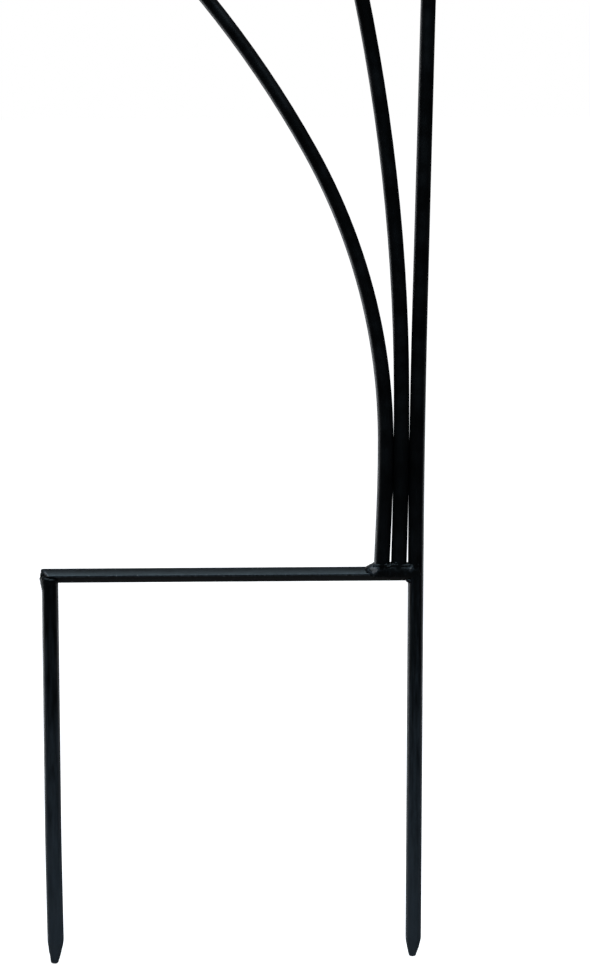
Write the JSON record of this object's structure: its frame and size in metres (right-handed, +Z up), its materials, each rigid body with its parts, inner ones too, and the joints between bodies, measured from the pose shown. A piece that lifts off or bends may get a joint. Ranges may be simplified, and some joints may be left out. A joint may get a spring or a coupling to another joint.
{
  "type": "metal trellis arch",
  "caption": "Flat garden trellis arch of round black rods: nested arches rise from step-in feet with ground prongs, tied by straight rays behind.",
  "frame": {"origin": "middle of the span on the ground line, which is the lower edge of the two foot bars, in the plane of the arches", "axes": "+Z up, +X along the foot bars to the right as seen from the front, the front looks towards -Y"},
  "size_m": [1.4348, 0.0173, 1.9618],
  "materials": {
    "black_coat": "satin black powder coat over mild steel, faint orange peel, worn at the ground points",
    "screw_zinc": "dull zinc plate"
  },
  "bodies": {
    "root": {"outer_arch_right": "black_coat", "outer_arch_left": "black_coat", "middle_arch_right": "black_coat", "middle_arch_left": "black_coat", "inner_arch_right": "black_coat", "inner_arch_left": "black_coat", "foot_bar_right": "black_coat", "foot_bar_left": "black_coat", "prong_right": "black_coat", "prong_left": "black_coat", "ray_low_right": "black_coat", "ray_middle_right": "black_coat", "ray_top_right": "black_coat", "ray_low_left": "black_coat", "ray_middle_left": "black_coat", "ray_top_left": "black_coat", "outer_sleeve": "black_coat", "middle_sleeve": "black_coat", "inner_sleeve": "black_coat", "sleeve_screws": "screw_zinc", "foot_welds_right": "black_coat", "foot_welds_left": "black_coat", "ray_welds_right": "black_coat", "ray_welds_left": "black_coat"}
  },
  "joints": []
}
